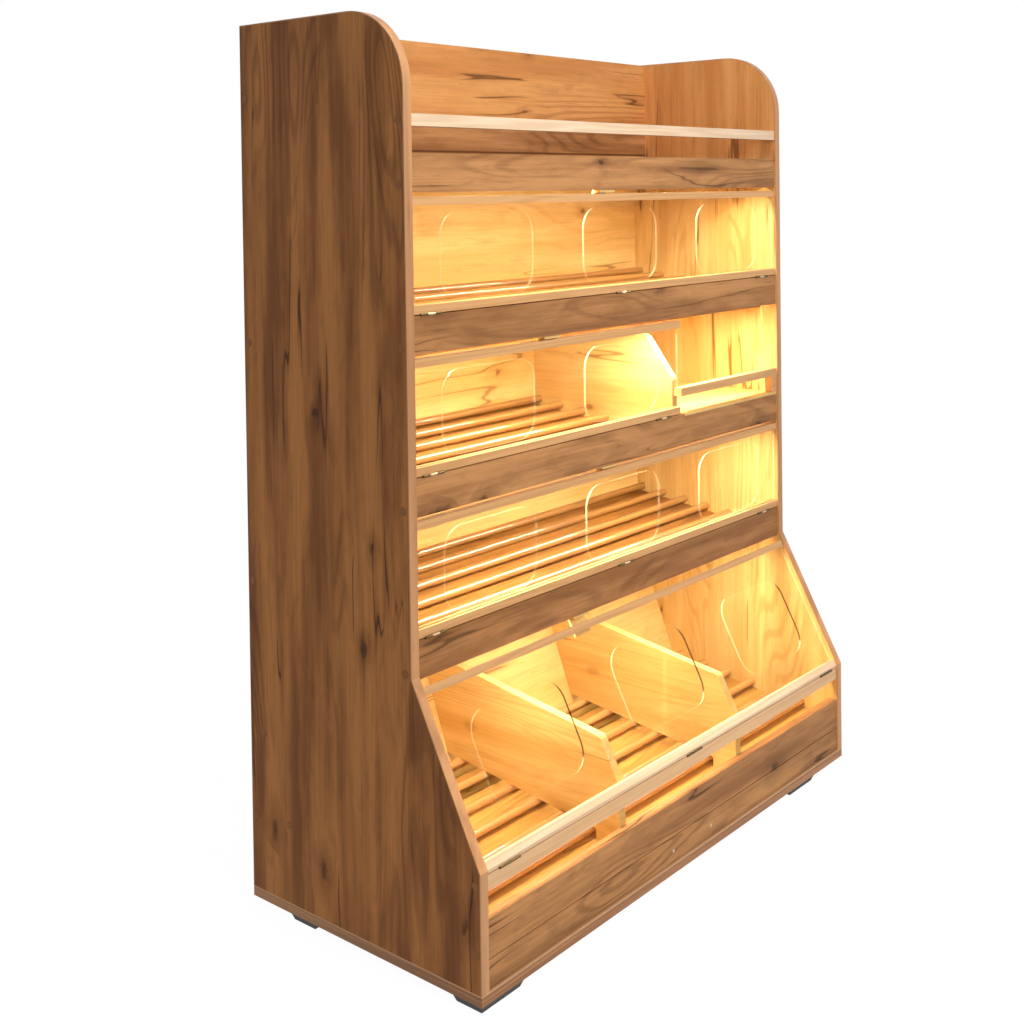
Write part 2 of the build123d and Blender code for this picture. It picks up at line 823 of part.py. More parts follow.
def build_drawer():
    """The crumb drawer and its runners."""
    y0 = face_base + board
    y1 = y0 + drawer_length
    x0 = -inner + drawer_gap
    plate = block(x0, -x0, face_base, y0, drawer_bottom, drawer_top)
    half = pull_spacing / 2
    for x in (-half, half):
        plate -= stud(x, pull_z, pull_hole_radius, face_base - overrun, y0 + overrun)
    save("drawer_front", [plate])
    runner_face = inner - runner
    side_out = runner_face - runner_air
    z0 = drawer_bottom + drawer_lift
    z1 = z0 + drawer_floor
    z2 = z1 + drawer_side_height
    save("drawer_floor", [block(-side_out, side_out, y0, y1, z0, z1)])
    walls = []
    for side in (-1, 1):
        a = side * side_out
        b = side * (side_out - drawer_side)
        walls.append(block(min(a, b), max(a, b), y0, y1, z1, z2))
    wall_x = side_out - drawer_side
    walls.append(block(-wall_x, wall_x, y1 - drawer_side, y1, z1, z2))
    save("drawer_walls", walls)
    middle = (z1 + z2) / 2
    outers = []
    bars = []
    for side in (-1, 1):
        a = side * inner
        b = side * runner_face
        rail = block(min(a, b), max(a, b), y0 + loose_gap, y1, middle - runner_height / 2,
                     middle + runner_height / 2)
        c = side * (runner_face + runner_slot)
        rail -= block(min(b, c), max(b, c), y0, y1 + overrun, middle - runner_bar / 2,
                      middle + runner_bar / 2)
        outers.append(rail)
        d = side * side_out
        e = side * (runner_face + runner_slot - runner_clearance)
        reach = runner_bar / 2 - runner_clearance
        bars.append(block(min(d, e), max(d, e), y0, y1, middle - reach, middle + reach))
    save("drawer_runners_cabinet", outers)
    save("drawer_runner_bars", bars)


def build_feet():
    """The black pads under the bottom board, narrower at the floor."""
    pads = []
    xs = [-half_width + foot_length / 2, half_width - foot_right_inset - foot_length / 2]
    ys = [front + foot_width / 2, back - foot_rear_inset - foot_width / 2]
    cut = foot_taper * 2
    for x in xs:
        for y in ys:
            under = Plane((x, y, floor_z), z_dir=(0, 0, -1))
            floor = Plane((x, y, 0), z_dir=(0, 0, -1))
            wide = under * Rectangle(foot_length, foot_width)
            tip = floor * Rectangle(foot_length - cut, foot_width - cut)
            pads.append(loft([wide, tip]))
    save("feet", pads)


os.makedirs("parts", exist_ok=True)
build_sides()
build_screws()
build_fascias()
build_carcass()
build_shelves()
build_divider()
build_bin()
build_flaps()
build_lights()
build_drawer()
build_feet()
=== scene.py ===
# %% [markdown]
# A bread display shelf, dressed for its picture
#
# The cabinet is already built, to size and piece by piece, and comes in as a fixed frame.
# What is left is how it looks: printed oak boards with cracks and knots, pale planed
# rails, varnished rods, clear flaps and the warm light strips behind each cross board.

# %% Load the frame
import math
import bpy
import bmesh
from mathutils import Matrix, Vector


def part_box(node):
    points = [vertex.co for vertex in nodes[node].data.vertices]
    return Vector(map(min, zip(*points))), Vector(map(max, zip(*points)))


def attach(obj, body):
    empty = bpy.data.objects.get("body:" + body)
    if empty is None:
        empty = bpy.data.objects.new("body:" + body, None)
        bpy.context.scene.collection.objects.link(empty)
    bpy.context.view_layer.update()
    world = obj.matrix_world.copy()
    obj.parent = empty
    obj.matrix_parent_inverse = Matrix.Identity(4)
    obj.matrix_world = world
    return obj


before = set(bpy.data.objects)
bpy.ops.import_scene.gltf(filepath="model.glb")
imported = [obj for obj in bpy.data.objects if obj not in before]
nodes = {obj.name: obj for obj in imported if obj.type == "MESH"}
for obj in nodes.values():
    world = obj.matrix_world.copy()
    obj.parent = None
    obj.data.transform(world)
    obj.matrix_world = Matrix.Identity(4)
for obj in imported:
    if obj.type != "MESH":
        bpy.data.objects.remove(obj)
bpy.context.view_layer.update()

# %% [markdown]
# The photograph was taken from the front left, about chest high, with the lens shifted
# down so that the uprights stay upright. A camera could be placed by eye and nudged until
# it fits. Here it was fitted to the pixels of the cabinet's corners, which gives the place,
# the turn and the focal length at once. The shift moves the lens's axis to the pixel where
# the fit puts it, above the middle of the picture.

# %% Camera
picture_side = 1024
focal_pixels = 1365.7
axis_pixel = (500.0, 219.5)
camera_place = Vector((-2.1404, -1.6394, 1.2594))
camera_yaw = 0.86514
camera_pitch = -0.0209
camera_roll = -0.01322
sensor_width = 36.0

camera = bpy.data.objects.new("camera", bpy.data.cameras.new("camera"))
bpy.context.scene.collection.objects.link(camera)
bpy.context.scene.camera = camera
camera.data.sensor_width = sensor_width
camera.data.lens = focal_pixels / picture_side * sensor_width
camera.data.shift_x = (picture_side / 2 - axis_pixel[0]) / picture_side
camera.data.shift_y = (axis_pixel[1] - picture_side / 2) / picture_side
turn = Matrix.Rotation(-camera_yaw, 4, "Z")
tilt = Matrix.Rotation(math.pi / 2 + camera_pitch, 4, "X")
roll = Matrix.Rotation(camera_roll, 4, "Z")
camera.matrix_world = Matrix.Translation(camera_place) @ turn @ tilt @ roll
print("lens", round(camera.data.lens, 2), "shift", round(camera.data.shift_y, 3))

# %% [markdown]
# Shader sums read better as sums. The Math nodes could be made and wired one by one, but a
# formula of ten terms would then fill a page. So one small class holds a socket and lets it
# be added, multiplied and compared with plain operators, and each operator adds the Math
# node that it stands for. Colours never go this way, because Math would turn them grey.

# %% A socket that can be used in sums
class Value:
    """One value in a shader, with the usual operators."""

    def __init__(self, shader, socket):
        self.shader = shader
        self.socket = socket

    def calculate(self, operation, first, second=0.0):
        made = self.shader.node("ShaderNodeMath", {"operation": operation}, {0: first, 1: second})
        return self.shader.value(made)

    def __add__(self, other):
        return self.calculate("ADD", self, other)

    def __radd__(self, other):
        return self.calculate("ADD", other, self)

    def __sub__(self, other):
        return self.calculate("SUBTRACT", self, other)

    def __rsub__(self, other):
        return self.calculate("SUBTRACT", other, self)

    def __mul__(self, other):
        return self.calculate("MULTIPLY", self, other)

    def __rmul__(self, other):
        return self.calculate("MULTIPLY", other, self)

    def __truediv__(self, other):
        return self.calculate("DIVIDE", self, other)

    def __abs__(self):
        return self.calculate("ABSOLUTE", self)

    def sine(self):
        return self.calculate("SINE", self)

    def largest(self, other):
        return self.calculate("MAXIMUM", self, other)

    def ramp(self, low, high):
        """0 at low, 1 at high and smooth between; with high under low it falls instead."""
        made = self.shader.node(
            "ShaderNodeMapRange",
            {"interpolation_type": "SMOOTHSTEP"},
            {"Value": self, "From Min": min(low, high), "From Max": max(low, high)},
        )
        rising = self.shader.value(made)
        return rising if low < high else 1.0 - rising


print("sockets can be used in sums")

# %% [markdown]
# Every other node comes from one method, which takes the node's type, then its settings,
# then what goes into its sockets: a number, a colour, a vector or a link. The class holds a
# node tree, so the surround is made in the same way as the materials. A few short methods
# name the patterns that come again and again, such as a noise at a stretched place.

# %% A node tree, with one method for its nodes
class Shader:
    """A node tree in the making."""

    def __init__(self, tree):
        self.tree = tree
        self.tree.nodes.clear()

    def node(self, kind, settings=None, inputs=None):
        made = self.tree.nodes.new(kind)
        for key, setting in (settings or {}).items():
            setattr(made, key, setting)
        for key, given in (inputs or {}).items():
            self.feed(made, key, given)
        return made

    def feed(self, made, key, given):
        socket = made.inputs[key]
        if isinstance(given, Value):
            self.tree.links.new(given.socket, socket)
        elif isinstance(given, bpy.types.NodeSocket):
            self.tree.links.new(given, socket)
        elif socket.type == "RGBA" and len(given) == 3:
            socket.default_value = (*given, 1.0)
        else:
            socket.default_value = given

    def value(self, made, output=0):
        return Value(self, made.outputs[output])

    def place(self, stretch=(1, 1, 1), shift=(0, 0, 0)):
        """The point on the piece, in metres, stretched and shifted."""
        point = self.node("ShaderNodeTexCoord").outputs["Object"]
        grown = self.node("ShaderNodeVectorMath", {"operation": "MULTIPLY"}, {0: point, 1: stretch})
        moved = self.node("ShaderNodeVectorMath", {}, {0: grown.outputs[0], 1: shift})
        return moved.outputs[0]

    def normal(self):
        """The direction that the piece's own surface faces, which turns with the piece."""
        return self.node("ShaderNodeTexCoord").outputs["Normal"]

    def part(self, vector, axis):
        """One of a vector's three numbers."""
        return self.value(self.node("ShaderNodeSeparateXYZ", {}, {0: vector}), axis)

    def dot(self, first, second):
        made = self.node("ShaderNodeVectorMath", {"operation": "DOT_PRODUCT"}, {0: first, 1: second})
        return self.value(made, "Value")

    def noise(self, point, detail=2.0, roughness=0.5, distortion=0.0):
        inputs = {
            "Vector": point,
            "Scale": 1.0,
            "Detail": detail,
            "Roughness": roughness,
            "Distortion": distortion,
        }
        return self.value(self.node("ShaderNodeTexNoise", {}, inputs))

    def blend(self, share, first, second):
        """A colour between two colours; 6 and 7 are the Mix node's colour sockets."""
        made = self.node("ShaderNodeMix", {"data_type": "RGBA"}, {0: share, 6: first, 7: second})
        return made.outputs[2]


print("node trees can be built")

# %% [markdown]
# A finish is a node tree round a Principled shader, which serves for wood, metal, plastic
# and clear sheets alike. What varies over a surface goes into its colour, roughness and
# bump, and what doesn't is set once on its sockets. Where a piece looks different to
# different rays, a second shader is mixed in. Colours could be written as the shader wants
# them, but they are easier to judge from 0 to 255, as in a picture, so tone turns them.

# %% A material
class Finish(Shader):
    """A material in the making: a Principled shader and what feeds it."""

    def __init__(self, name, roughness=0.5):
        self.material = bpy.data.materials.new(name)
        self.material.use_nodes = True
        super().__init__(self.material.node_tree)
        self.skin = self.node("ShaderNodeBsdfPrincipled", {}, {"Roughness": roughness})
        self.out = self.node("ShaderNodeOutputMaterial", {}, {"Surface": self.skin.outputs[0]})

    def set(self, **inputs):
        for key, given in inputs.items():
            self.feed(self.skin, key.replace("_", " "), given)

    def bump(self, height, strength, distance):
        inputs = {"Height": height, "Strength": strength, "Distance": distance}
        self.set(Normal=self.node("ShaderNodeBump", {}, inputs).outputs[0])

    def mix_with(self, share, other):
        """Show another shader in place of the Principled one, as far as share says."""
        inputs = {0: share, 1: self.skin.outputs[0], 2: other.outputs[0]}
        self.feed(self.out, "Surface", self.node("ShaderNodeMixShader", {}, inputs).outputs[0])


def tone(red, green, blue):
    """A colour as a picture shows it, from 0 to 255, made linear."""
    levels = [v / 255 for v in (red, green, blue)]
    return tuple(v / 12.92 if v < 0.04045 else ((v + 0.055) / 1.055) ** 2.4 for v in levels)


print("mid grey in linear light", round(tone(128, 128, 128)[0], 3))

# %% [markdown]
# The cabinet stands on a white floor. A white floor could be lit until it clips, but the
# same light would bleach the wood. So the floor's paint is a middle grey that takes the
# cabinet's shadow, and for the rays that the camera sees it by, straight, in gloss or through
# clear sheets, it mixes in its own white light.

# %% Floor
floor_side = 30.0
floor_grey = 0.35
floor_light = 1.20
floor_light_share = 0.8

floor_mesh = bpy.data.meshes.new("floor")
corners = [(-1, -1, 0), (1, -1, 0), (1, 1, 0), (-1, 1, 0)]
floor_mesh.from_pydata([(x * floor_side, y * floor_side, z) for x, y, z in corners], [], [(0, 1, 2, 3)])
floor = bpy.data.objects.new("floor", floor_mesh)
bpy.context.scene.collection.objects.link(floor)


def seen_directly(shader):
    """1 for the rays that show a thing to the camera, straight, in gloss or through glass."""
    rays = shader.node("ShaderNodeLightPath")
    straight = shader.value(rays, "Is Camera Ray")
    in_gloss = shader.value(rays, "Is Glossy Ray")
    through = shader.value(rays, "Is Transmission Ray")
    return straight.largest(in_gloss).largest(through)


floor_paint = Finish("pale floor", 0.8)
floor_paint.set(Base_Color=(floor_grey, floor_grey, floor_grey))
own_light = floor_paint.node(
    "ShaderNodeEmission", {}, {"Color": (1.0, 1.0, 1.0), "Strength": floor_light}
)
floor_paint.mix_with(seen_directly(floor_paint) * floor_light_share, own_light)
floor.data.materials.append(floor_paint.material)
print("floor side", 2 * floor_side, "grey", floor_grey)

# %% [markdown]
# Behind the floor lies a plain white surround. It lights the cabinet's shaded side from all
# around, and at full white that would be far too much. The same trick splits the two jobs:
# the camera sees strength 1, which is white, and the cabinet gets about half of it.

# %% Surround
sky_level = 0.53

world = bpy.data.worlds.new("surround")
bpy.context.scene.world = world
world.use_nodes = True
sky = Shader(world.node_tree)
sky_strength = seen_directly(sky) * (1.0 - sky_level) + sky_level
sky_light = sky.node("ShaderNodeBackground", {}, {"Color": (1.0, 1.0, 1.0), "Strength": sky_strength})
sky.node("ShaderNodeOutputWorld", {}, {"Surface": sky_light.outputs[0]})
bpy.context.scene.view_settings.view_transform = "Standard"
print("surround level", sky_level)

# %% [markdown]
# Two soft lamps model the wood. A tall slim one stands in front, a little left of the
# middle. It lights the cross boards and misses the left side, which stays darker as in the
# photograph. A smaller one, higher up, reaches the right upright above the top shelf. Sun
# lamps would be simpler, but their light is even and hard, while an area lamp's fades with
# distance and its size sets how soft each shadow's edge is.

# %% Lamps
def lamp(name, place, target, power, tint, size):
    """A rectangular lamp that points at a spot."""
    data = bpy.data.lights.new(name, "AREA")
    data.energy = power
    data.color = tint
    data.shape = "RECTANGLE"
    data.size, data.size_y = size
    lit = bpy.data.objects.new(name, data)
    lit.location = place
    lit.rotation_euler = (Vector(target) - Vector(place)).to_track_quat("-Z", "Y").to_euler()
    bpy.context.scene.collection.objects.link(lit)
    return lit


front_place = (-0.45, -2.2, 1.9)
front_target = (0.0, 0.0, 0.75)
front_power = 31.0
lamp("front lamp", front_place, front_target, front_power, (1.0, 0.96, 0.90), (0.3, 1.2))

ceiling_place = (-0.42, -0.5, 2.3)
ceiling_target = (0.58, 0.0, 1.4)
ceiling_power = 6.0
lamp("ceiling lamp", ceiling_place, ceiling_target, ceiling_power, (1.0, 0.93, 0.84), (0.3, 0.5))
print("front lamp", front_power, "watts, ceiling lamp", ceiling_power, "watts")

# %% [markdown]
# The boards are chipboard with a printed oak face. A picture of oak could be laid on them,
# but here the print is built from noise, which never repeats and needs no picture file.
# First come its tones. A set is the light wood, the dark wood, the streaks and the cracks.
# There are six sets, because the boards outside are brown and those inside are honey, which
# is partly the print's own tone and partly painted warm light from the strips.

# %% Tones of the oak print
oak_tones = (tone(204, 148, 96), tone(153, 104, 63), tone(98, 61, 35), tone(58, 32, 14))
# The uprights' outer faces are a little darker than the fronts, partly painted shade.
shaded_side_tones = (tone(208, 139, 79), tone(142, 88, 49), tone(96, 52, 26), tone(60, 32, 12))
# The honey inside is partly painted warm light from the strips.
honey_lit_tones = (tone(234, 198, 128), tone(217, 174, 102), tone(182, 130, 60), tone(112, 68, 34))
# The top's set is redder than the honey, partly painted shade where the strips' light doesn't reach.
top_tones = (tone(226, 164, 100), tone(204, 138, 78), tone(154, 96, 52), tone(90, 54, 30))
# The shelf boards under the rods are darker, painted shade between the rods.
shaded_board_tones = (tone(176, 122, 60), tone(138, 90, 42), tone(106, 64, 30), tone(66, 38, 16))
slat_tones = (tone(212, 164, 86), tone(184, 134, 64), tone(130, 84, 42), tone(80, 46, 20))
raw_core = tone(252, 236, 214)
print("sets of oak tones", 6)

# %% [markdown]
# All of the print's patterns run along the grain. One noise could be squeezed by a mapping
# for each board, but it is simpler to say how many patches a metre holds across the grain
# and along it, and which of the piece's axes the grain follows.

# %% Patterns along the grain
def stretched(grain, across, along):
    """A pattern's patches per metre on each axis, finer across the grain than along it."""
    scale = [across, across, across]
    scale["XYZ".index(grain)] = along
    return tuple(scale)


def drawn_out(wood, grain, across, along, shift=(0, 0, 0), **settings):
    """A noise drawn out along the grain."""
    return wood.noise(wood.place(stretched(grain, across, along), shift), **settings)


print("fibres per metre across and along", stretched("X", 300.0, 6.0))

# %% [markdown]
# Some boards show two tones. An upright is brown outside and honey inside, partly painted
# warm light from the strips, and above the top shelf, away from the strips, its inner face is
# redder, which is painted shade. The back above the top shelf is one panel that looks like
# two boards, a dark one below with a dark line under it, painted shade along the fascia's
# top edge. Separate materials on parts of a piece would do, but the tones can also change by
# the surface's own direction and height, and then the print runs on unbroken.

# %% Two-toned boards
top_shelf_zone = (1.30, 1.34)
lower_board_top = 1.392
board_seam = 0.0006
# The dark line under the lower board is painted shade along the fascia's top edge.
joint_shade_top = 1.3425
joint_shade_width = 0.005
joint_shade_edge = 0.001


def retoned(wood, share, tones, others):
    """Each tone turned into its counterpart as far as share says; the rest stay."""
    changed = [wood.blend(share, here, other) for here, other in zip(tones, others)]
    return changed + list(tones[len(others):])


def upright_zones(wood, tones, face):
    """Honey on the face that looks into the cabinet, partly painted strip light, and redder painted shade
    above the top shelf.
    """
    # Painted strip light: the face that looks inside takes the honey tones.
    inside = wood.dot(wood.normal(), face).ramp(0.4, 0.6)
    # Painted shade: above the top shelf that face turns redder.
    above = wood.part(wood.place(), "Z").ramp(*top_shelf_zone) * inside
    tones = retoned(wood, inside, tones, honey_lit_tones)
    return retoned(wood, above, tones, top_tones[:3])


def lower_board(wood, tones):
    """The tones with a darker board below, and under that board a dark line of painted shade."""
    height = wood.part(wood.place(), "Z")
    below = height.ramp(lower_board_top + board_seam, lower_board_top - board_seam)
    joint_shade_low = joint_shade_top - joint_shade_width
    upper_edge = height.ramp(joint_shade_top, joint_shade_top - joint_shade_edge)
    lower_edge = height.ramp(joint_shade_low, joint_shade_low + joint_shade_edge)
    return retoned(wood, below, tones, oak_tones[:3]), upper_edge * lower_edge


print("lower board from", joint_shade_top, "to", lower_board_top)

# %% [markdown]
# A knot has a black ragged heart, a dark halo and grain that bends round it. Knots could be
# listed one by one for each board. Instead a cell pattern scatters them: each cell has a
# random colour, whose first number says whether the cell holds a knot and whose second says
# how large it is. The cells are flat, in the two axes of the board's face, so that knots
# keep their round shape on the face.

# %% Knots
knot_cells_across = 9.0
knot_cells_along = 4.6


def knot_layers(wood, grain, across, shift, knots, cloud, speck):
    """Heart, halo and bent grain; knots is the share of cells that hold a knot."""
    wobble = drawn_out(wood, grain, 30.0, 18.0, shift) * 0.22
    point = wood.place(stretched(grain, knot_cells_across, knot_cells_along), shift)
    flat_point = wood.node(
        "ShaderNodeCombineXYZ",
        {},
        {0: wood.part(point, across) + wobble, 1: wood.part(point, grain) + wobble},
    )
    cells = wood.node(
        "ShaderNodeTexVoronoi",
        {"voronoi_dimensions": "2D"},
        {"Vector": flat_point.outputs[0], "Scale": 1.0},
    )
    draw = wood.node("ShaderNodeSeparateColor", {}, {0: cells.outputs["Color"]})
    chosen = wood.value(draw, "Red").ramp(1.0 - knots, 1.02 - knots)
    size = 0.55 + 0.9 * wood.value(draw, "Green")
    distance = wood.value(cells, "Distance")
    ragged = (distance + (cloud - 0.5) * 0.16 + (speck - 0.5) * 0.10) / size
    heart = ragged.ramp(0.085, 0.02) * chosen
    halo = ragged.ramp(0.30, 0.05) * chosen
    bent = distance.ramp(0.40, 0.0) * chosen
    return heart, halo, bent


print("knot cells per metre", knot_cells_across, "across and", knot_cells_along, "along")

# %% [markdown]
# Cracks are thin, black and open at both ends. The contour of a noise is a good thin line,
# but it closes into a loop. So one contour is kept only inside the patches of a second
# noise, and its width follows the patch, which lets each crack swell and run out. A wider,
# fainter copy of it is the brown smear beside the crack.

# %% Cracks
crack_width = 0.008
crack_fade = 0.005
smear_width = 0.035


def crack_layers(wood, grain, shift, strength):
    """The black split and the brown smear round it."""
    vein = drawn_out(wood, grain, 13.0, 0.9, shift, detail=3.0)
    patch = drawn_out(wood, grain, 10.0, 2.8, shift, detail=1.0).ramp(0.49, 0.64)
    off_line = abs(vein - 0.5)
    split = (off_line - patch * crack_width).ramp(0.0, -crack_fade) * strength
    smear = (off_line - patch * smear_width).ramp(0.0, -smear_width) * strength
    return split, smear


print("crack width against its smear", crack_width, smear_width)

# %% [markdown]
# The grain lines of oak close into long loops, like the contours of a map. Taking the sine
# of a slow noise gives just such contours. They show only in some places, the flames, and
# the wood between them has fine fibres and short dark dashes. All layers are then laid over
# each other from the widest to the finest, and the same ones feed gloss and bump, so that
# a crack is also a groove.

# %% The whole print
def printed_oak(name, grain, across, tones, shift, knots, cracks, figure=1.0, face=None,
                two_boards=False, bores=()):
    """The oak print on a board whose face has the axes grain and across."""
    wood = Finish(name)
    if face is not None:
        tones = upright_zones(wood, tones, face)
    if two_boards:
        tones, joint_shade = lower_board(wood, tones)
    light, dark, streak, crack = tones

    column = drawn_out(wood, grain, 17.0, 1.1, shift, detail=3.0, roughness=0.55)
    cloud = drawn_out(wood, grain, 26.0, 7.0, shift, detail=4.0, roughness=0.6, distortion=0.4)
    fibre = drawn_out(wood, grain, 300.0, 6.0, shift, detail=3.0, roughness=0.65)
    speck = drawn_out(wood, grain, 420.0, 90.0, shift)
    heart, halo, bent = knot_layers(wood, grain, across, shift, knots, cloud, speck)
    split, smear = crack_layers(wood, grain, shift, cracks)

    field = drawn_out(wood, grain, 6.0, 1.0, shift, detail=1.5, distortion=0.3)
    loops = ((field + bent * 0.016 + cloud * 0.02) * 170.0 + fibre * 2.0).sine() * 0.5 + 0.5
    flame = drawn_out(wood, grain, 7.0, 1.6, shift, detail=1.0).ramp(0.50, 0.62)
    dash = drawn_out(wood, grain, 170.0, 12.0, shift).ramp(0.62, 0.80)

    board = wood.blend((column * 0.72 + cloud * 0.28).ramp(0.38, 0.60), dark, light)
    layers = [
        ((cloud.ramp(0.50, 0.72) + fibre * 0.10) * 0.36, streak),
        (loops.ramp(0.45, 1.0) * flame * (0.42 * figure), streak),
        (fibre.ramp(0.42, 0.72) * 0.22, streak),
        (dash * 0.34 + halo * 0.42 + smear * 0.45, streak),
        (split * 0.78, crack),
        (heart * 0.72, crack),
    ]
    # The dark line under the lower board is painted shade.
    if two_boards:
        layers.append((joint_shade * 0.85, crack))
    layers += [(bore_edge(wood, x, z), raw_core) for x, z in bores]
    for share, tint in layers:
        board = wood.blend(share, board, tint)

    wood.set(Base_Color=board, Roughness=0.46 + fibre * 0.14 + dash * 0.1)
    wood.set(Specular_IOR_Level=0.14)
    wood.bump(1.0 - (dash * 0.5 + split + fibre * 0.35), 0.25, 0.0004)
    return wood.material


print("the oak print has tones, loops, fibres, dashes, cracks and knots")

# %% [markdown]
# The drawer front has two bare holes for a pull. The raw chipboard in them is pale, and in
# the photograph each hole is a light dot. A separate ring of pale material would be too
# small to hold, so the print turns pale within the hole's own radius.

# %% Bare pull holes
pull_spacing = 0.128
pull_height = 0.050
bore_radius = 0.0027
bore_soft_edge = 0.0004


def bore_edge(wood, x, z):
    """1 inside a hole that runs from front to back, 0 outside."""
    face_point = wood.node(
        "ShaderNodeVectorMath", {"operation": "MULTIPLY"}, {0: wood.place(), 1: (1, 0, 1)}
    )
    apart = wood.node(
        "ShaderNodeVectorMath", {"operation": "DISTANCE"}, {0: face_point.outputs[0], 1: (x, 0.0, z)}
    )
    return wood.value(apart, "Value").ramp(bore_radius + bore_soft_edge, bore_radius)


pull_spots = [(side * pull_spacing / 2, pull_height) for side in (-1, 1)]
print("pull holes at", pull_spots)

# %% [markdown]
# Nine prints cover all the boards. One print for everything would show the same knots at
# the same places. Each print lies at another place in the noise, and its grain follows the
# board: upright on the sides, crosswise on the fronts and shelves, and from front to back
# on the dividers. The inner boards are calmer, with fewer knots and fainter loops.

# %% The boards' prints
left_oak = printed_oak(
    "left upright oak print", "Z", "Y", shaded_side_tones, (0, 0, 0), knots=0.35, cracks=1.0, face=(1, 0, 0)
)
right_oak = printed_oak(
    "right upright oak print", "Z", "Y", shaded_side_tones, (3, 1, 2), knots=0.25, cracks=0.9, face=(-1, 0, 0)
)
front_oak = printed_oak(
    "crosswise oak print", "X", "Z", oak_tones, (0.3, 1.7, 2.1), knots=0.3, cracks=0.7, figure=0.7
)
back_oak = printed_oak(
    "crosswise honey print", "X", "Z", honey_lit_tones, (2.3, 0.4, 0.9), knots=0.15, cracks=0.7, figure=0.5
)
top_oak = printed_oak(
    "top back oak print", "X", "Z", top_tones, (4.3, 0.1, 1.9), knots=0.4, cracks=0.9, two_boards=True
)
board_oak = printed_oak(
    "shelf board oak print", "X", "Y", shaded_board_tones, (1.3, 2.1, 0.4), knots=0.3, cracks=0.7
)
slat_oak = printed_oak(
    "bin slat oak print", "X", "Y", slat_tones, (0.9, 1.1, 2.4), knots=0.2, cracks=0.7
)
drawer_oak = printed_oak(
    "drawer front oak print", "X", "Z", oak_tones, (5.3, 0.7, 3.1), knots=0.25, cracks=0.9,
    bores=pull_spots,
)
deep_oak = printed_oak(
    "deepwise honey print", "Y", "Z", honey_lit_tones, (1.1, 0.2, 3.7), knots=0.12, cracks=0.7, figure=0.5
)
print("oak prints", 9)

# %% [markdown]
# The rails and the rods are real wood, planed or turned, with faint straight grain. They
# could share the oak print with its knots turned off, but plain wood has only even lines,
# which one sine of a noise gives. The rods wear a clear varnish. It is a coat with a high
# index and almost no roughness, so that each light strip draws a sharp white line on them.

# %% Solid wood
varnish_roughness = 0.02
varnish_index = 2.3


def planed_wood(name, light, dark, varnish=0.0, roughness=0.45, shift=(0, 0, 0)):
    """Pale solid wood with its grain across the cabinet, bare or under a clear varnish."""
    wood = Finish(name, roughness)
    grown = drawn_out(wood, "X", 34.0, 1.3, shift, distortion=0.3)
    lines = (grown * 46.0).sine() * 0.5 + 0.5
    fibre = drawn_out(wood, "X", 520.0, 9.0, shift, detail=3.0)
    board = wood.blend(lines * 0.45 + fibre * 0.25, light, dark)
    wood.set(Base_Color=board, Roughness=roughness + fibre * 0.12)
    wood.set(Coat_Weight=varnish, Coat_Roughness=varnish_roughness, Coat_IOR=varnish_index)
    wood.bump(fibre * -0.5 + lines * -0.3, 0.2, 0.0003)
    return wood.material


rail_wood = planed_wood("planed pale wood", tone(224, 172, 114), tone(196, 142, 86))
pale_rail = planed_wood(
    "planed white wood", tone(240, 210, 178), tone(216, 176, 134), shift=(0.7, 0.1, 0.3)
)
peach_rail = planed_wood(
    "planed peach wood", tone(238, 194, 146), tone(216, 166, 116), shift=(0.2, 0.5, 0.6)
)
guard_wood = planed_wood(
    "bare guard rail wood", tone(242, 216, 186), tone(216, 180, 142), roughness=0.5, shift=(0.4, 0.2, 0.1)
)
rod_wood = planed_wood("varnished rod wood", tone(178, 126, 64), tone(134, 90, 40), varnish=1.0)
bin_rod_wood = planed_wood(
    "varnished bin rod wood", tone(218, 162, 96), tone(184, 126, 66), varnish=1.0
)
print("solid woods", 6)

# %% [markdown]
# The boards' front edges wear a thin plastic band in a warm peach tone, a little lighter
# than the boards and slightly shiny. It carries a fainter form of the print. At this width
# two noises are enough for it, a slow one for the tone and a quick one for the flecks.

# %% Edge band
band = Finish("peach edge band", 0.42)
band_grain = drawn_out(band, "Z", 30.0, 1.5)
band_fleck = drawn_out(band, "Z", 160.0, 20.0)
band_tint = band.blend(band_grain.ramp(0.35, 0.65), tone(208, 152, 102), tone(182, 128, 82))
band.set(Base_Color=band.blend(band_fleck.ramp(0.55, 0.8) * 0.4, band_tint, tone(150, 100, 66)))
band.set(Roughness=0.38 + band_fleck * 0.12)
band.bump(band_fleck, 0.1, 0.0002)
print("band flecks per metre", stretched("Z", 160.0, 20.0))

# %% [markdown]
# The base board's ends lie under the uprights and show as a strip. The strip is redder than
# the uprights above it, with level layers of chipboard, and along its top corner runs a pale
# line, a painted highlight. The line is painted by height, which is read from the board's own box.

# %% Base board
base_low, base_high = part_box("bottom_board")
glint_low = base_high.z - 0.0030
glint_high = base_high.z - 0.0018

base = Finish("base board strip", 0.45)
base_grain = base.noise(base.place((3.0, 3.0, 240.0)), detail=3.0)
base_fleck = base.noise(base.place((40.0, 40.0, 300.0)))
# A painted highlight along the strip's top corner.
painted_glint_line = base.part(base.place(), "Z").ramp(glint_low, glint_high)
base_tint = base.blend(base_grain.ramp(0.35, 0.65), tone(186, 130, 80), tone(150, 98, 56))
base_tint = base.blend(base_fleck.ramp(0.55, 0.8) * 0.4, base_tint, tone(120, 70, 38))
base.set(Base_Color=base.blend(painted_glint_line * 0.65, base_tint, tone(232, 184, 136)))
base.set(Roughness=0.4 + base_fleck * 0.15)
base.bump(base_grain, 0.15, 0.0003)
print("base board strip from", round(base_low.z, 3), "to", round(base_high.z, 3))
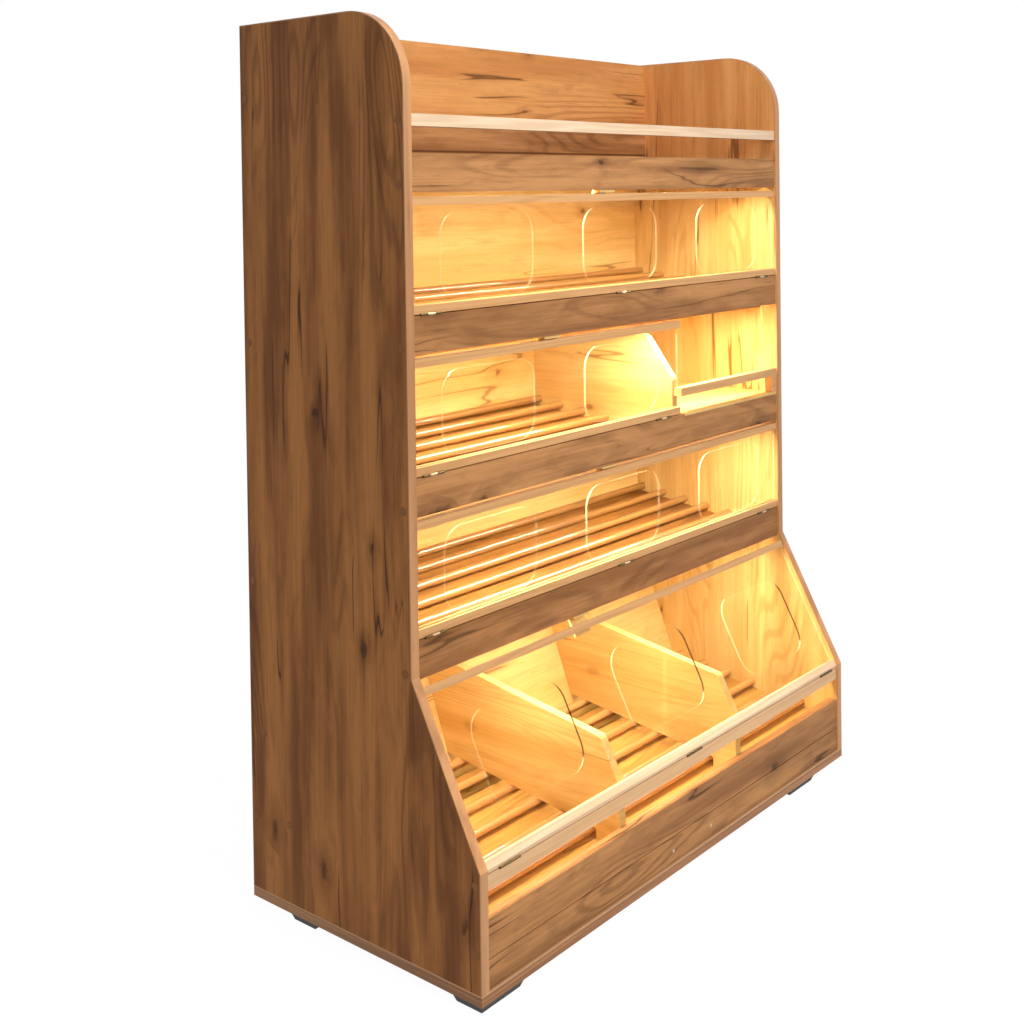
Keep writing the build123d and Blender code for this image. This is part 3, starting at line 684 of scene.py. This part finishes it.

# %% [markdown]
# The metal parts are small: brass hinges and strike plates, zinc plated runners and drawn
# aluminium light channels. Each has fine scratches one way, as it was brushed, rolled or
# drawn, and a few smudges that dull it. The leaves on the cabinet look much darker than
# those on the upper flaps, so the brass comes in two shades, and the darker one is painted
# shade.

# %% Metals
def brushed_metal(name, tint, roughness, along):
    """Metal with fine scratches one way and a few smudges."""
    metal = Finish(name, roughness)
    scratch = drawn_out(metal, along, 900.0, 14.0, detail=3.0)
    smudge = metal.noise(metal.place((22.0, 22.0, 22.0)), detail=3.0)
    dull = tuple(v * 0.72 for v in tint)
    metal.set(Base_Color=metal.blend(scratch * 0.5 + smudge * 0.3, tint, dull))
    metal.set(Metallic=1.0, Roughness=roughness + scratch * 0.15 + smudge.ramp(0.4, 0.8) * 0.12)
    metal.bump(scratch, 0.12, 0.0001)
    return metal.material


# The dark brass is painted shade; the brass on the upper flaps is the plain one.
shaded_brass = brushed_metal("brushed brass", (0.17, 0.105, 0.045), 0.36, "X")
bright_brass = brushed_metal("bright brass", (0.74, 0.58, 0.36), 0.30, "X")
zinc = brushed_metal("zinc plated steel", (0.62, 0.64, 0.66), 0.30, "Y")
anodised = brushed_metal("anodised aluminium", (0.80, 0.80, 0.80), 0.32, "X")
print("metals", 4)

# %% [markdown]
# Pads, caps, catches and the driver's case are moulded plastic. Plain colour would look like
# a computer picture, because a real mould is spark eroded and leaves a fine sandy skin. So
# a very fine noise gives the bump, and a slow one lightens worn places.

# %% Plastics
def moulded_plastic(name, tint, roughness, gloss=0.5):
    """Plastic with a spark-eroded skin."""
    plastic = Finish(name, roughness)
    spark = plastic.noise(plastic.place((1400.0, 1400.0, 1400.0)))
    worn = plastic.noise(plastic.place((40.0, 40.0, 40.0)), detail=4.0)
    lighter = tuple(min(1.0, v * 1.5 + 0.01) for v in tint)
    plastic.set(Base_Color=plastic.blend(worn.ramp(0.45, 0.75) * 0.4, tint, lighter))
    plastic.set(Roughness=roughness + worn * 0.1, Specular_IOR_Level=gloss)
    plastic.bump(spark, 0.15, 0.00015)
    return plastic.material


black_pad = moulded_plastic("black pad plastic", (0.012, 0.012, 0.013), 0.55)
brown_cap = moulded_plastic("brown cap plastic", tone(150, 98, 56), 0.5, 0.2)
tan_catch = moulded_plastic("tan catch plastic", tone(234, 196, 124), 0.4, 0.2)
white_case = moulded_plastic("white driver case", (0.72, 0.72, 0.70), 0.45)
print("plastics", 4)

# %% [markdown]
# The crumb drawer's floor is thin brown hardboard. It shows as a dark strip through the
# slots of the bin's floor, and its dark brown partly stands in for the shade down there, as
# painted shade. Pressed board has no grain, only short felted fibres, so an even noise with
# much detail gives its face, and a slow one makes it cloudy.

# %% Brown hardboard
pressed = Finish("brown hardboard", 0.7)
felt = pressed.noise(pressed.place((260.0, 260.0, 260.0)), detail=4.0, roughness=0.7)
cloudy = pressed.noise(pressed.place((14.0, 14.0, 14.0)), detail=3.0)
# The dark browns are partly painted shade seen through the slots.
pressed_tint_and_shade = pressed.blend(felt.ramp(0.35, 0.7), tone(86, 50, 30), tone(58, 33, 20))
pressed.set(Base_Color=pressed.blend(cloudy.ramp(0.4, 0.7) * 0.4, pressed_tint_and_shade, tone(100, 62, 38)))
pressed.set(Roughness=0.65 + felt * 0.2)
pressed.bump(felt, 0.3, 0.0003)
hardboard = pressed.material
print("felted fibres per metre", 260)

# %% [markdown]
# The flaps are clear acrylic. From the front almost nothing of the sheet shows but the
# polished walls of its hand holes, as thin pale lines. A real glass shader would show this
# too, but it is slow and would darken the warm light on its way in. So the faces are nearly
# transparent, a little hazier at a slant, and the walls are milky, with a painted warm
# highlight and a faint painted glow that stand in for light which has reached inside the
# sheet. In the bin's slanted flap the right wall of each hole faces away from the light and
# is painted dark, as painted shade, and in the upright flaps a little darker. A wall is told
# from a face by the piece's own normal, which turns with the flap. A right wall is an upright
# one in the right half of its bay, and the sheet's own right end, past the last hole, is none.

# %% Clear acrylic
half_bay = 0.194
last_hole_x = 0.56
face_haze = 0.012
slant_haze = 0.05
scuff_haze = 0.004
wall_haze = 0.28


def hole_walls(sheet, facing):
    """Masks for all walls, for the level ones and for each hole's right one."""
    normal = sheet.normal()
    wall = abs(sheet.dot(normal, facing)).ramp(0.9, 0.5)
    upright = abs(sheet.part(normal, "X")).ramp(0.6, 0.9)
    level = abs(sheet.part(normal, "Z")).ramp(0.6, 0.9)
    across = sheet.part(sheet.place(), "X")
    bay = sheet.node("ShaderNodeMath", {"operation": "WRAP"}, {0: across, 1: half_bay, 2: -half_bay})
    right_half = sheet.value(bay).ramp(-0.01, 0.01)
    within_holes = across.ramp(last_hole_x + 0.01, last_hole_x)
    return wall, level, upright * right_half * within_holes


def clear_sheet(name, facing, right_wall_shade, right_haze, level_haze):
    """Acrylic facing one way; the walls get a painted highlight and glow, right walls get painted shade,
    and haze is added to a kind of wall.
    """
    sheet = Finish(name, 0.04)
    wall, level, right = hole_walls(sheet, facing)
    painted_wall_shade = right * right_wall_shade
    slant = sheet.value(sheet.node("ShaderNodeLayerWeight", {}, {"Blend": 0.2}), "Fresnel")
    scuff = sheet.noise(sheet.place((60.0, 60.0, 60.0)), detail=5.0).ramp(0.62, 0.75)
    # The walls get a painted highlight, and the right walls painted shade.
    painted_wall_light = sheet.blend(painted_wall_shade, (1.0, 0.86, 0.62), (0.04, 0.02, 0.008))
    # A faint painted glow on the walls, though no lamp is in them.
    painted_wall_glow = sheet.blend(painted_wall_shade, (1.0, 0.72, 0.38), (0.0, 0.0, 0.0))
    haze = face_haze + slant * slant_haze + scuff * scuff_haze
    milky = wall_haze + level * level_haze + right * right_haze
    sheet.set(Base_Color=sheet.blend(wall, (0.02, 0.02, 0.02), painted_wall_light))
    sheet.set(Alpha=haze * (1.0 - wall) + wall * milky)
    sheet.set(Emission_Color=sheet.blend(wall, (0.0, 0.0, 0.0), painted_wall_glow), Emission_Strength=0.4)
    sheet.set(Roughness=0.03 + scuff * 0.1, IOR=1.49)
    return sheet.material


bin_slope = math.radians(27.49)
bin_facing = (0, math.cos(bin_slope), -math.sin(bin_slope))
upright_acrylic = clear_sheet("upright acrylic", (0, 1, 0), 0.2, -0.14, -0.14)
slanted_acrylic = clear_sheet("slanted acrylic", bin_facing, 1.0, 0.5, 0.0)
print("acrylic sheets", 2, "half a bay", half_bay)

# %% [markdown]
# A strip of warm diodes shines down from behind each of the four upper cross boards, inside
# an aluminium channel with a milky diffuser. The diffuser glows by itself, but a mesh that
# glows is a poor lamp: it is noisy to render. So it only looks bright, and it lets the rays
# of the real lamps in and under it pass, through Light Path's shadow rays.

# %% Diffuser
glow_strength = 3.0

glow = Finish("glowing diffuser", 0.6)
ripple = glow.noise(glow.place((60.0, 10.0, 10.0)), detail=1.0)
glow.set(Base_Color=(1.0, 0.9, 0.7), Roughness=0.5 + ripple * 0.1)
glow.set(Emission_Color=glow.blend(ripple, (1.0, 0.80, 0.46), (1.0, 0.86, 0.56)))
glow.set(Emission_Strength=glow_strength)
shadow_rays = glow.value(glow.node("ShaderNodeLightPath"), "Is Shadow Ray")
glow.mix_with(shadow_rays, glow.node("ShaderNodeBsdfTransparent"))
print("diffuser glows at", glow_strength)

# %% [markdown]
# Each strip is two long thin lamps. The sunk one lies in the channel and shines straight
# down through its slot, which gives the sharp edge of light on the back and the ends. The
# open one lies under the channel, is a little paler and leans backwards, and so the light
# starts just behind the flap and falls on the rods and the back. The top channel has no
# shelf board over it and hangs a little higher in its cross board than the others.

# %% Warm light strips
warm = (1.0, 0.88, 0.58)
paler = (1.0, 0.89, 0.68)
sunk_powers = [2.8, 4.0, 3.4, 2.5]
open_powers = [3.9, 4.0, 3.4, 2.7]
level_pitch = 0.26
end_gap = 0.07
lip_depth = 0.0012
top_heights = (0.0041, -0.0032)
lower_heights = (-0.0098, -0.0180)
sunk_width = 0.002
open_width = 0.008
open_setback = 0.004
open_lean = 0.45
open_spread = math.radians(160)

strip_low, strip_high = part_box("light_diffusers")
strip_length = strip_high.x - strip_low.x - 2 * end_gap
strip_y = (strip_low.y + strip_high.y) / 2
for level in range(4):
    lip = strip_high.z - lip_depth - level * level_pitch
    sunk_rise, open_rise = top_heights if level == 0 else lower_heights
    sunk_place = (0.0, strip_y, lip + sunk_rise)
    open_place = (0.0, strip_y + open_setback, lip + open_rise)
    straight_down = (0.0, strip_y, 0.0)
    backwards = (0.0, strip_y + open_lean, lip + open_rise - 1.0)
    sunk = lamp(
        f"sunk strip {level + 1}", sunk_place, straight_down, sunk_powers[level], warm,
        (strip_length, sunk_width),
    )
    spill = lamp(
        f"open strip {level + 1}", open_place, backwards, open_powers[level], paler,
        (strip_length, open_width),
    )
    spill.data.spread = open_spread
    sunk.visible_camera = False
    spill.visible_camera = False
print("light strips", 4, "length", round(strip_length, 3), "one every", level_pitch)

# %% [markdown]
# Each node now gets its finish. The lists follow the record's material slots, with the
# inner boards split by the way their grain runs. A longer list could name every flap's
# pieces, but the three upright flaps are alike, so a loop gives each its rails, hardware
# and pane. The bin's flap is listed, with its pale rail, hardware in the painted-shade brass
# and slanted sheet.

# %% Dress the frame
finishes = {
    left_oak: ["side_panel_left"],
    right_oak: ["side_panel_right"],
    front_oak: ["fascia_1", "fascia_2", "fascia_3", "fascia_4"],
    drawer_oak: ["fascia_5", "drawer_front"],
    top_oak: ["top_back_panel", "top_shelf_board"],
    back_oak: ["back_panel", "open_shelf_deck", "bin_back_board"],
    slat_oak: ["bin_floor_slats"],
    hardboard: ["drawer_floor"],
    board_oak: ["shelf_board_1", "shelf_board_2", "shelf_board_3"],
    deep_oak: ["level_2_divider", "bin_divider_left", "bin_divider_right", "drawer_walls"],
    rail_wood: ["open_shelf_rail", "open_shelf_post", "flap_bin_top_rail"],
    peach_rail: ["bin_fixed_rail"],
    pale_rail: ["flap_bin_bottom_rail"],
    guard_wood: ["top_guard_rail"],
    rod_wood: ["rods_level_1", "rods_level_2", "rods_level_3"],
    bin_rod_wood: ["rods_bin"],
    band.material: ["side_band_left", "side_band_right"],
    base.material: ["bottom_board"],
    shaded_brass: ["hinge_leaves_cabinet", "joining_screws", "flap_bin_hardware"],
    bright_brass: [],
    upright_acrylic: [],
    slanted_acrylic: ["flap_bin_pane"],
    tan_catch: ["magnetic_catches"],
    zinc: ["drawer_runners_cabinet", "drawer_runner_bars"],
    anodised: ["light_channels"],
    glow.material: ["light_diffusers"],
    black_pad: ["feet", "cable_gland"],
    brown_cap: ["screw_caps"],
    white_case: ["light_driver"],
}
for flap in ("flap_1", "flap_2", "flap_3"):
    finishes[rail_wood] += [f"{flap}_top_rail", f"{flap}_bottom_rail"]
    finishes[bright_brass].append(f"{flap}_hardware")
    finishes[upright_acrylic].append(f"{flap}_pane")

for material, names in finishes.items():
    for name in names:
        mesh = nodes[name].data
        mesh.materials.clear()
        mesh.materials.append(material)
print("dressed", sum(len(names) for names in finishes.values()), "of", len(nodes))

# %% [markdown]
# The uprights are also screwed to the back boards, and round caps hide those screws. They
# are small domed discs, pressed a little into the face. A flattened ball would look soft at
# the rim, so each disc is built from rings, with a rounded edge and a nearly flat middle.
# The list gives their depth and height, read off the photograph's left side, and the other
# side mirrors it.

# %% Caps along the rear edge
cap_places = [(0.258, 1.425), (0.258, 0.998), (0.258, 0.576)]
cap_places += [(0.235, 0.310), (0.258, 0.157), (0.170, 0.165)]
cap_radius = 0.0068
cap_rise = 0.0012
cap_steps = 28
cap_rings = [(1.0, -0.3), (1.0, 0.35), (0.94, 0.75), (0.80, 0.95), (0.45, 1.0)]
side_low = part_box("side_panel_left")[0]
outer_face = -side_low.x


def cap_ring(shape, side, y, z, share, rise):
    """One ring of points, as a share of the cap's radius and of its rise."""
    ring = []
    for step in range(cap_steps):
        angle = math.tau * step / cap_steps
        depth = y + cap_radius * share * math.cos(angle)
        height = z + cap_radius * share * math.sin(angle)
        ring.append(shape.verts.new((side * (outer_face + cap_rise * rise), depth, height)))
    return ring


def domed_cap(name, side, y, z):
    """A disc with a rounded rim and a slightly raised middle, on one side's outer face."""
    shape = bmesh.new()
    rings = [cap_ring(shape, side, y, z, share, rise) for share, rise in cap_rings]
    for lower, upper in zip(rings, rings[1:]):
        for step in range(cap_steps):
            after = (step + 1) % cap_steps
            shape.faces.new((lower[step], lower[after], upper[after], upper[step]))
    shape.faces.new(rings[-1])
    shape.faces.new(list(reversed(rings[0])))
    bmesh.ops.recalc_face_normals(shape, faces=shape.faces)
    mesh = bpy.data.meshes.new(name)
    shape.to_mesh(mesh)
    shape.free()
    mesh.materials.append(brown_cap)
    mesh.shade_smooth()
    cap = bpy.data.objects.new(name, mesh)
    bpy.context.scene.collection.objects.link(cap)
    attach(cap, "cabinet")


for number, (y, z) in enumerate(cap_places, 1):
    domed_cap(f"rear_cap_left_{number}", -1, y, z)
    domed_cap(f"rear_cap_right_{number}", 1, y, z)
print("rear caps", 2 * len(cap_places))
